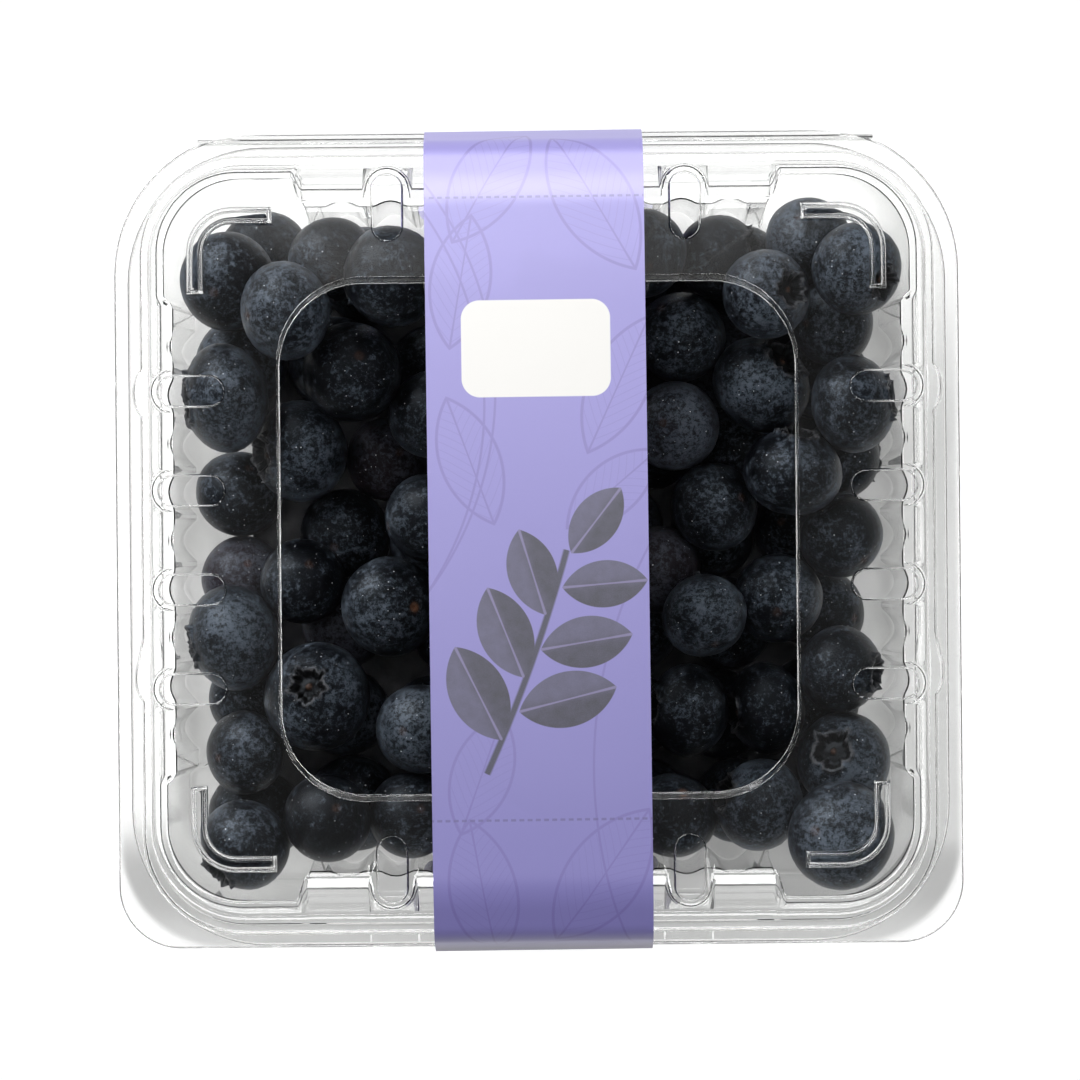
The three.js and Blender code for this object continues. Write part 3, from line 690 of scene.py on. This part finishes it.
def berry_surface(b, draw, angles, sides):
    """A berry's points, in rings from its crown to its scar, and the crown and scar marks of each.

    The crown is a ragged ridge of five lobes round a bowl, in which the stub of the style stands.
    The scar is a small pit within a low lip. Uneven waves go all over the berry.
    """
    phase = [2 * math.pi * next(draw) for _ in range(6)]
    size = drawn(draw, 0.9, 0.25)  # of the crown
    theta = np.arange(sides) * 2 * math.pi / sides
    phi, turn = np.meshgrid(angles, theta, indexing="ij")
    rho = np.sin(phi)
    front = phi < math.pi / 2
    lobes = 1 - 2 * np.abs(np.sin(2.5 * turn + phase[0] + 0.3 * np.sin(2 * turn + phase[1]))) ** 0.7
    ragged = 0.6 * np.sin(9 * turn + phase[2]) + 0.4 * np.sin(13 * turn + phase[3])
    rim_at = (CROWN_AT + 0.05 * lobes + 0.05 * ragged) * size
    ridge = ridge_at(rho - rim_at, 0.034 * size) * front
    bowl = fade(rho - rim_at + 0.09 * size, 0.08 * size) * front
    hollow = fade(rho - rim_at + 0.05 * size, 0.06 * size) * front
    style = fade(rho - 0.045, 0.045) * front
    scar = fade(rho - 0.07, 0.06) * (1 - front)
    lip = ridge_at(rho - 0.15, 0.035) * (1 - front)
    radius = 1 + (0.09 + 0.055 * lobes + 0.035 * ragged) * ridge - (0.2 - 0.04 * style) * bowl
    radius += (0.008 * lip - 0.045 * scar) * b.scarred
    radius += 0.011 * np.sin(2 * turn + phase[4]) * np.sin(phi) ** 2
    radius += 0.009 * np.sin(3 * phi + phase[5]) + 0.006 * np.sin(3 * turn + 4 * phi + phase[1])
    side = np.cross(b.axis, (0.31, 0.52, 0.79))
    side /= np.linalg.norm(side)
    other = np.cross(b.axis, side)
    x, y, z = radius * rho * np.cos(turn), radius * rho * np.sin(turn), radius * np.cos(phi)
    points = x[..., None] * side + y[..., None] * other + (z * b.aspect)[..., None] * b.axis
    brown = np.maximum(scar * b.scarred, 0.3 * style)
    return points * b.radius + np.array(b.place), np.maximum(hollow, 0.55 * ridge), brown


def berry_heap(name, berries, seed, sides, front_rings, rings):
    """All berries of one layer as one mesh, with its marks for the material."""
    draw = random_stream(seed)
    near = np.linspace(*CROWN_RINGS, front_rings)
    far = np.linspace(*BODY_RINGS, rings)
    angles = np.concatenate([near, far, math.pi - np.array(SCAR_RINGS)])
    points, faces, marks = [], [], []
    ring_count = len(angles)
    quads = [(a, d, c, b) for a, b, c, d in ring_faces(ring_count, sides)]
    for b in berries:
        start = len(points)
        grid, crown, scar = berry_surface(b, draw, angles, sides)
        tint = next(draw)
        points += [tuple(p) for p in grid.reshape(-1, 3)]
        marks += [(tint, c, s) for c, s in zip(crown.ravel(), scar.ravel())]
        faces += [tuple(start + i for i in quad) for quad in quads]
        for row, first in ((0, True), (ring_count - 1, False)):
            ring = start + row * sides
            middle = len(points)
            points.append(tuple(np.mean(points[ring : ring + sides], axis=0)))
            marks.append((tint, float(crown[row].mean()), float(scar[row].mean())))
            for j in range(sides):
                k = (j + 1) % sides
                around = (ring + j, ring + k) if first else (ring + k, ring + j)
                faces.append((middle, *around))
    made = new_object(name, points, faces, 0)
    for label, values in zip(BERRY_MARKS, zip(*marks)):
        layer = made.data.attributes.new(label, "FLOAT", "POINT")
        layer.data.foreach_set("value", np.array(values, np.float32))
    return made


CORE_HALF = (40, 37)
CORE_FACES = [(8.4, 1.1, -2.2), (5.0, 0.5, 0.8)]  # top and bottom: z, bumps and rise to the edge
CORE_COUNT = 44  # points along each side


def berry_core():
    """A dark uneven mass between the lower berries, which carries the heap; its dark colour is
    painted shade in the gaps between them.
    """
    count, last = CORE_COUNT, CORE_COUNT - 1
    area = count * count
    points, faces = [], []
    for z, uneven, rise in CORE_FACES:
        for i in range(count):
            for j in range(count):
                u, v = 2 * i / last - 1, 2 * j / last - 1
                edge = max(abs(u), abs(v)) ** 6
                x, y = CORE_HALF[0] * u, CORE_HALF[1] * v + TRAY_Y
                bumps = math.sin(x * 0.83 + 0.7 * math.sin(y * 0.4)) * math.sin(y * 0.91 + 1.3)
                points.append((x, y, z + uneven * bumps + rise * edge))
    for i in range(last):
        for j in range(last):
            a = i * count + j
            low = a + area
            faces.append((a, a + count, a + count + 1, a + 1))
            faces.append((low, low + 1, low + count + 1, low + count))
    edge = [*range(0, area, count), *range(area - last, area)]
    edge += [*range(area - count - 1, 0, -count), *range(last - 1, 0, -1)]
    faces += [(b, a, a + area, b + area) for a, b in zip(edge, edge[1:] + edge[:1])]
    return new_object("berries_core", points, faces, 0)


# ---- materials ----
DUST_CELLS = 1400  # to a metre
DUST_FREE = 0.66  # share of the cells without dust
SKIN, BLOOM = (0.0005, 0.0006, 0.001, 1), (0.042, 0.052, 0.067, 1)
PIT, RED_SKIN = (0.001, 0.001, 0.0018, 1), (0.016, 0.007, 0.009, 1)
DUST = (0.42, 0.44, 0.46, 1)
LOBE_DARK, LOBE_PALE = (0.003, 0.003, 0.004, 1), (0.045, 0.046, 0.05, 1)
BOWL, SCAR = (0.0015, 0.0014, 0.0014, 1), (0.1, 0.045, 0.022, 1)


class Graph:
    """The nodes of a material or of the world, put together from small steps."""

    def __init__(self, owner, shader="Principled BSDF"):
        self.owner = owner
        owner.use_nodes = True
        self.tree = owner.node_tree
        self.shader = self.tree.nodes[shader]

    def node(self, kind, inputs=(), output=0, **settings):
        made = self.tree.nodes.new("ShaderNode" + kind)
        for setting, value in settings.items():
            setattr(made, setting, value)
        for place, value in dict(inputs).items():
            self.put(made.inputs[place], value)
        return made.outputs[output]

    def put(self, socket, value):
        if isinstance(value, bpy.types.NodeSocket):
            self.tree.links.new(value, socket)
        else:
            socket.default_value = value

    def math(self, operation, a, b=0.0, c=0.0):
        return self.node("Math", {0: a, 1: b, 2: c}, operation=operation)

    def times(self, a, b):
        return self.math("MULTIPLY", a, b)

    def noise(self, scale, detail, roughness, vector, distortion=0.0):
        inputs = {"Vector": vector, "Scale": scale, "Detail": detail}
        inputs.update(Roughness=roughness, Distortion=distortion)
        return self.node("TexNoise", inputs)

    def span(self, value, low, high, to_low=0.0, to_high=1.0):
        """A smooth step from one value to another, between two places."""
        inputs = {0: value, 1: low, 2: high, 3: to_low, 4: to_high}
        return self.node("MapRange", inputs, interpolation_type="SMOOTHSTEP")

    def blend(self, share, a, b):
        """Colour a, or colour b where the share is 1."""
        inputs = {0: share, 6: a, 7: b}
        return self.node("Mix", inputs, 2, data_type="RGBA")

    def attribute(self, name):
        return self.node("Attribute", output="Fac", attribute_name=name)

    def spot(self):
        return self.node("TexCoord", output="Object")

    def parts(self, vector, labels):
        return [self.node("SeparateXYZ", {0: vector}, label) for label in labels]

    def inside_box(self, x, y, middle, half, corner):
        """How far inside a rectangle with rounded corners a place lies."""
        squares = []
        for value, centre, reach in zip((x, y), middle, half):
            away = self.math("ABSOLUTE", self.math("SUBTRACT", value, centre))
            away = self.math("MAXIMUM", self.math("SUBTRACT", away, reach - corner), 0)
            squares.append(self.times(away, away))
        return self.math("SUBTRACT", corner, self.math("SQRT", self.math("ADD", *squares)))

    def bump(self, height, strength, distance):
        inputs = {"Height": height, "Strength": strength, "Distance": distance}
        self.put(self.shader.inputs["Normal"], self.node("Bump", inputs))

    def surface(self, **values):
        for label, value in values.items():
            self.put(self.shader.inputs[label.replace("_", " ")], value)
        return self.owner


def clear_sheet():
    """Clear plastic with faint waves and a little haze."""
    g = Graph(bpy.data.materials.new("clear_sheet"))
    spot = g.spot()
    tint = g.blend(g.noise(20, 2, 0.5, spot), (0.975, 0.975, 0.97, 1), (0.95, 0.955, 0.95, 1))
    haze = g.span(g.noise(160, 3, 0.6, spot), 0.55, 0.8, 0.0, 0.02)
    g.bump(g.noise(55, 1, 0.4, spot), 0.02, 0.001)
    g.shader.inputs["IOR"].default_value = 1.5
    g.shader.inputs["Transmission Weight"].default_value = 1.0
    return g.surface(Base_Color=tint, Roughness=haze)


def berry_skin():
    """Dark skin under an uneven grey bloom, with specks of dust, a black crown and a brown scar."""
    g = Graph(bpy.data.materials.new("berry_skin"))
    tint, crown, scar = (g.attribute(name) for name in BERRY_MARKS)
    shift = g.node("CombineXYZ", {0: tint, 1: g.times(tint, 3.7)})
    spot = g.node("VectorMath", {0: g.spot(), 1: shift}, operation="ADD")
    wide = g.noise(120, 3, 0.6, spot, 0.6)
    mottled = g.noise(620, 5, 0.8, spot, 0.6)
    grain = g.noise(1500, 4, 0.8, spot, 0.3)
    bloom = g.math("MULTIPLY_ADD", wide, 1.3, g.times(mottled, 1.3))
    bloom = g.math("MULTIPLY_ADD", tint, 0.35, bloom)
    bloom = g.span(g.math("MULTIPLY_ADD", grain, 2.6, bloom), 2.58, 3.38)
    skin = g.blend(bloom, SKIN, BLOOM)
    skin = g.blend(g.span(grain, 0.4, 0.47, 0.8, 0.0), skin, PIT)
    skin = g.blend(g.times(g.span(tint, 0.86, 0.95), 0.35), skin, RED_SKIN)
    cell = {"Vector": spot, "Scale": DUST_CELLS}
    chosen, wide_speck = g.parts(g.node("TexVoronoi", cell, "Color"), "XY")
    speck = g.math("MULTIPLY_ADD", wide_speck, 0.13, 0.04)
    inner, away = g.times(speck, 0.5), g.node("TexVoronoi", cell, "Distance")
    near = g.node("MapRange", {0: away, 1: inner, 2: speck, 3: 1, 4: 0})
    dust = g.times(near, g.math("GREATER_THAN", chosen, DUST_FREE))
    skin = g.blend(dust, skin, DUST)
    lobe = g.blend(g.span(mottled, 0.35, 0.65), LOBE_DARK, LOBE_PALE)
    skin = g.blend(g.span(crown, 0.1, 0.5), skin, lobe)
    skin = g.blend(g.span(crown, 0.62, 0.8), skin, BOWL)
    skin = g.blend(g.times(scar, 0.8), skin, SCAR)
    rough = g.span(bloom, 0, 1, 0.36, 0.5)
    g.bump(g.math("MULTIPLY_ADD", grain, 0.4, mottled), 0.25, 0.0003)
    g.shader.inputs["Specular IOR Level"].default_value = 0.16
    g.shader.inputs["Specular Tint"].default_value = (0.78, 0.88, 1, 1)
    return g.surface(Base_Color=skin, Roughness=rough)


# Near black, as painted shade in the gaps between the berries, with a mottle and bumps.
def painted_shade_core():
    g = Graph(bpy.data.materials.new("berry_core_painted_shade"))
    mottled = g.noise(300, 3, 0.6, g.spot())
    g.bump(mottled, 0.4, 0.0006)
    return g.surface(
        Base_Color=g.blend(mottled, (0.003, 0.003, 0.005, 1), (0.008, 0.009, 0.013, 1)),
        Roughness=g.span(mottled, 0.3, 0.7, 0.6, 0.8),
    )


# Generic shapes on the band, in millimetres: middle x and y, length, width and direction.
LINE_LEAVES = [
    (-6, 50, 20, 9, 60),
    (8, 47, 22, 10, 120),
    (-10, 36, 18, 8, 80),
    (11, 22, 20, 8, 65),
    (-9, 12, 18, 8, 110),
    (10, 8, 16, 7, 40),
    (-8, -30, 17, 8, 70),
    (-8, -46, 20, 9, 100),
    (8, -44, 22, 10, 55),
    (2, -58, 18, 8, 20),
]
LINE_STEMS = [(-52, 20, 45), (-50.5, 22, 45), (70, -30, 63)]  # middle and radius
TEAR_LINES = (47.3, -36.2)
TWIG_LEAVES = 7
TWIG_STEM = (-188.7, 54.3, 200)  # as above
TWIG_REACH = (-0.5, -15.5, 16)  # of the circle that its stem shows in
# In print units, as are the widths of lines in the material:
PALE_PANEL = ((0, 0.27), (0.1, 0.065), 0.025)  # middle, half sizes and corner radius
PRINT_SOFT = 0.0006  # half width of a soft edge
# Painted shade: the lilac turns darker towards the band's front, and darker still where the band
# turns down there.
LILAC_FRONT_PAINTED_SHADE, LILAC_BACK = (0.21, 0.19, 0.48, 1), (0.3, 0.27, 0.63, 1)
PAINTED_FRONT_SHADE, LINE_LILAC = (0.03, 0.025, 0.07, 1), (0.14, 0.1, 0.34, 1)
TWIG_DARK, TWIG_PALE = (0.007, 0.007, 0.018, 1), (0.1, 0.095, 0.18, 1)
STEM, MIDRIB = (0.03, 0.03, 0.06, 1), (0.3, 0.26, 0.5, 1)
PALE, DASH, FIBRE = (0.84, 0.83, 0.8, 1), (0.12, 0.1, 0.26, 1), (0.7, 0.68, 0.85, 1)


def twig_leaves():
    """The leaves of the dark twig, in turn on both sides of its stem and one at its tip."""
    leaves = []
    for i in range(TWIG_LEAVES):
        t = i / (TWIG_LEAVES - 1)
        side = 0 if i == TWIG_LEAVES - 1 else (-1) ** i
        length = 14 - 3 * t
        angle = 66 + 50 * side - 14 * t
        cos, sin = direction(angle)
        reach = 0.5 * length + 0.6
        x, y = -5 + 9 * t + reach * cos, -26 + 25 * t + reach * sin
        leaves.append((x, y, length, 0.55 * length, angle))
    return leaves


class Print(Graph):
    """The nodes that draw on the band, where y runs along the band, in print units."""

    def __init__(self, name):
        super().__init__(bpy.data.materials.new(name))
        self.uv = self.node("UVMap", uv_map="print")

    def circle(self, x, y, radius):
        """How far inside a circle a place lies."""
        centre = (x / PRINT_UNIT, y / PRINT_UNIT, 0)
        distance = self.node("VectorMath", {0: self.uv, 1: centre}, "Value", operation="DISTANCE")
        return self.math("SUBTRACT", radius / PRINT_UNIT, distance)

    def leaf(self, x, y, length, width, angle):
        """How far inside a pointed leaf a place lies, and how far to one side of its midrib."""
        half, bulge = length / 2, width / 2
        radius = (half * half + bulge * bulge) / (2 * bulge)
        away = radius - bulge
        cos, sin = direction(angle)
        left = self.circle(x - sin * away, y + cos * away, radius)
        right = self.circle(x + sin * away, y - cos * away, radius)
        return self.math("MINIMUM", left, right), self.math("SUBTRACT", left, right)

    def veins(self, angle, aside):
        """Fine slanted lines from a leaf's midrib to its edge."""
        inputs = {0: self.uv, 1: (*direction(angle), 0)}
        along = self.node("VectorMath", inputs, "Value", operation="DOT_PRODUCT")
        slanted = self.math("MULTIPLY_ADD", self.math("ABSOLUTE", aside), -0.6, along)
        return self.span(self.math("PINGPONG", slanted, 0.0075), 0.0002, 0.0016, 1, 0)

    def filled(self, inside):
        return self.span(inside, -PRINT_SOFT, PRINT_SOFT)

    def line(self, inside, width):
        return self.span(self.math("ABSOLUTE", inside), width * 0.4, width, 1, 0)


def line_drawing(g):
    """Where the line leaves and their stems are."""
    masks = [g.line(g.circle(*stem), 0.0022) for stem in LINE_STEMS]
    for x, y, length, width, angle in LINE_LEAVES:
        inside, aside = g.leaf(x, y, length, width, angle)
        fine = g.times(g.veins(angle, aside), 0.45)
        fine = g.math("MAXIMUM", fine, g.line(aside, 0.003))
        masks += [g.line(inside, 0.0028), g.times(g.filled(inside), fine)]
    drawing = masks[0]
    for mask in masks[1:]:
        drawing = g.math("MAXIMUM", drawing, mask)
    return drawing


def with_twig(g, field):
    """The field's colour with the dark twig on it."""
    shade = g.noise(60, 3, 0.6, g.uv)
    stem = g.line(g.circle(*TWIG_STEM), 0.006)
    field = g.blend(g.times(stem, g.filled(g.circle(*TWIG_REACH))), field, STEM)
    for leaf in twig_leaves():
        inside, aside = g.leaf(*leaf)
        light = g.math("MULTIPLY_ADD", shade, 0.6, g.span(aside, -0.02, 0.02, -0.1, 0.45))
        field = g.blend(g.filled(inside), field, g.blend(light, TWIG_DARK, TWIG_PALE))
        rib = g.times(g.line(aside, 0.003), g.filled(inside))
        field = g.blend(g.times(rib, 0.5), field, MIDRIB)
    return field


def with_tear_lines(g, field, x, y):
    """The field's colour with dashed lines across it."""
    for place in TEAR_LINES:
        dash = g.math("GREATER_THAN", g.math("PINGPONG", x, 0.0055), 0.0022)
        row = g.line(g.math("SUBTRACT", y, place / PRINT_UNIT), 0.0022)
        field = g.blend(g.times(g.times(row, dash), 0.75), field, DASH)
    return field


def printed_paper():
    """Lilac paper with line leaves, a dark twig, a bare pale panel and two dashed tear lines,
    darkened towards its front end by painted shade.
    """
    g = Print("lilac_paper")
    x, y = g.parts(g.uv, "XY")
    # painted shade: the lilac darker towards the front, and darkest where the band turns down at
    # the front
    field = g.blend(g.span(y, -0.5, 0.52), LILAC_FRONT_PAINTED_SHADE, LILAC_BACK)
    field = g.blend(g.span(y, -0.6, -0.53, 0.75, 0), field, PAINTED_FRONT_SHADE)
    field = g.blend(g.times(line_drawing(g), 0.45), field, LINE_LILAC)
    field = with_twig(g, field)
    field = g.blend(g.filled(g.inside_box(x, y, *PALE_PANEL)), field, PALE)
    field = with_tear_lines(g, field, x, y)
    fibres = g.noise(900, 3, 0.6, g.uv)
    field = g.blend(g.span(fibres, 0.3, 0.8, 0, 0.06), field, FIBRE)
    g.bump(fibres, 0.08, 0.0002)
    g.shader.inputs["Coat Weight"].default_value = 0.4
    g.shader.inputs["Coat Roughness"].default_value = 0.28
    return g.surface(Base_Color=field, Roughness=g.span(fibres, 0.2, 0.8, 0.42, 0.55))


# Rounded rectangles on the floor, inside which its glow is turned down as painted shade: middle,
# half sizes and corner radius.
PACK_SHADE = ((0, -0.0005), (0.0592, 0.0565), 0.014)
TRAY_SHADE = ((0, 0.0002), (0.0513, 0.0475), 0.01)


def white_floor():
    """A white floor that glows a little by itself, with painted shade in that glow under the pack.

    The painted shade is lighter under the flanges than under the tray, and both change towards the
    front and the right. Near the tray's back wall the glow is painted lighter again.
    """
    g = Graph(bpy.data.materials.new("studio_floor"))
    spot = g.spot()
    x, y = g.parts(spot, "XY")
    soft = g.noise(2, 2, 0.5, spot)
    slanted = g.math("SUBTRACT", x, y)
    # painted shade under the pack, stronger towards the right and towards the front
    across = g.span(slanted, 0.01, 0.045, 0.0, 0.49)
    front = g.times(g.span(y, -0.056, -0.05, 0.5, 0.67), g.span(y, -0.046, -0.036, 1, 0))
    painted_pack_shade = g.math("SUBTRACT", 1.02, g.math("MAXIMUM", across, front))
    under_pack = g.span(g.inside_box(x, y, *PACK_SHADE), -0.001, 0.001)
    under_tray = g.span(g.inside_box(x, y, *TRAY_SHADE), -0.001, 0.001)
    # painted shade under the tray: darker towards the front right, lighter at the back left and
    # near the back wall
    painted_tray_shade = g.span(slanted, -0.07, 0.05, 0.33, 0.2)
    painted_tray_shade = g.math("ADD", painted_tray_shade, g.span(slanted, -0.095, -0.06, 0.5, 0))
    painted_tray_shade = g.span(y, -0.047, -0.038, g.span(slanted, 0, 0.09, 0.42, 0.18), painted_tray_shade)
    painted_tray_shade = g.math("MAXIMUM", painted_tray_shade, g.span(y, 0.039, 0.046, 0, 0.85))
    # the floor's glow, turned down under the pack and the tray as painted shade
    glow = g.span(under_pack, 0, 1, 0.97, painted_pack_shade)
    glow = g.span(under_tray, 0, 1, glow, painted_tray_shade)
    g.shader.inputs["Emission Color"].default_value = (1, 1, 1, 1)
    g.put(g.shader.inputs["Emission Strength"], glow)
    return g.surface(
        Base_Color=g.blend(soft, (0.35, 0.35, 0.35, 1), (0.36, 0.36, 0.36, 1)),
        Roughness=g.span(soft, 0.3, 0.7, 0.8, 0.9),
    )


# ---- studio ----
LIGHT_AIM = Vector((0, 0, 0.02))
CAMERA_PLACE = (0.0002, 0.00003, 0.726)
CAMERA_TURN = 0.5  # degrees
HALF_VIEW, VIEW_DISTANCE = 73.55, 700  # half the picture's width, that far from the camera
SENSOR = 36
FLOOR = [(-2000, -2000, 0), (2000, -2000, 0), (2000, 2000, 0), (-2000, 2000, 0)]  # millimetres


def soft_light(name, spot, size, power, pieces=None, mirrored=False):
    """A rectangular light aimed at the pack or at some of its pieces, which may only mirror it."""
    data = bpy.data.lights.new(name, "AREA")
    data.shape = "RECTANGLE"
    data.size, data.size_y = size
    data.energy = power
    light = bpy.data.objects.new(name, data)
    scene.collection.objects.link(light)
    light.location = spot
    light.rotation_euler = (Vector(spot) - LIGHT_AIM).to_track_quat("Z", "Y").to_euler()
    light.visible_camera = False
    light.visible_diffuse = not mirrored
    light.visible_transmission = not mirrored
    if pieces:
        group = bpy.data.collections.new(name + "_pieces")
        for piece in pieces:
            group.objects.link(piece)
        light.light_linking.receiver_collection = group


def surroundings():
    """A dim tent with a soft glow at the back and round the zenith, which veils the lid."""
    world = bpy.data.worlds.new("studio")
    scene.world = world
    g = Graph(world, "Background")
    x, y, z = g.parts(g.node("TexCoord", output="Generated"), "XYZ")
    back = g.times(g.span(y, 0.085, 0.14), g.span(x, -0.04, 0.09, 0.58, 0.28))
    back = g.times(back, g.span(y, 0.45, 0.7, 1, 0.2))
    ring = g.times(g.span(z, 0.954, 0.975), g.span(z, 0.9915, 0.9965, 0.095, 0))
    g.put(g.shader.inputs["Color"], g.math("ADD", g.math("ADD", back, ring), 0.006))


def camera():
    """Straight down, as the photograph is taken, with its slight turn."""
    data = bpy.data.cameras.new("camera")
    data.sensor_fit = "HORIZONTAL"
    data.sensor_width = SENSOR
    data.lens = SENSOR / 2 / (HALF_VIEW / VIEW_DISTANCE)
    made = bpy.data.objects.new("camera", data)
    scene.collection.objects.link(made)
    made.location = CAMERA_PLACE
    made.rotation_euler = (0, 0, -math.radians(CAMERA_TURN))
    data.clip_start = 0.01
    scene.camera = made


camera()
surroundings()
scene.view_settings.view_transform = "Standard"

floor = new_object("floor", FLOOR, [(0, 1, 2, 3)])
floor.data.materials.append(white_floor())

plastic = clear_sheet()
skin = berry_skin()
upper, lower = settled_berries()
pieces = [
    (base_tray(), plastic, "clear_sheet", "base_tray"),
    (lid(), plastic, "clear_sheet", "lid"),
    (paper_band(), printed_paper(), "lilac_paper", "paper_band"),
    (berry_heap("berries_upper", upper, UPPER_SEED, 45, 14, 12), skin, "berry_skin", "berries"),
    (berry_heap("berries_lower", lower, LOWER_SEED, 35, 10, 10), skin, "berry_skin", "berries"),
    (berry_core(), painted_shade_core(), "berry_skin", "berries"),
]
for piece, material, slot, node in pieces:
    piece.data.materials.clear()
    piece.data.materials.append(material)
    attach(piece, "root")
    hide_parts(node)
    if material is plastic:
        piece.visible_shadow = False
sheets = [piece for piece, material, *_ in pieces if material is plastic]
band = pieces[2][0]
heap = [piece for piece, *_, node in pieces if node == "berries"]
soft_light("key", (-0.45, 0.55, 0.34), (0.36, 0.36), 9.4, heap)
soft_light("fill", (0.5, -0.35, 0.55), (0.6, 0.6), 0.08, heap)
soft_light("band_top", (-0.22, 0.26, 0.62), (0.42, 0.42), 5.0, [band])
soft_light("card_back", (0, 0.25, 0.44), (0.7, 0.2), 3.3, sheets + [band], True)
soft_light("card_left", (-0.25, 0, 0.45), (0.7, 0.12), 3.6, sheets, True)
soft_light("card_front", (0, -0.25, 0.45), (0.7, 0.12), 3.2, sheets, True)
soft_light("card_right", (0.25, 0, 0.45), (0.7, 0.12), 1.8, sheets, True)
soft_light("strip_front", (0, -0.41, 0.21), (0.6, 0.06), 1.8, sheets, True)
soft_light("strip_back", (0, 0.4, 0.36), (0.6, 0.16), 2.2, [band], True)
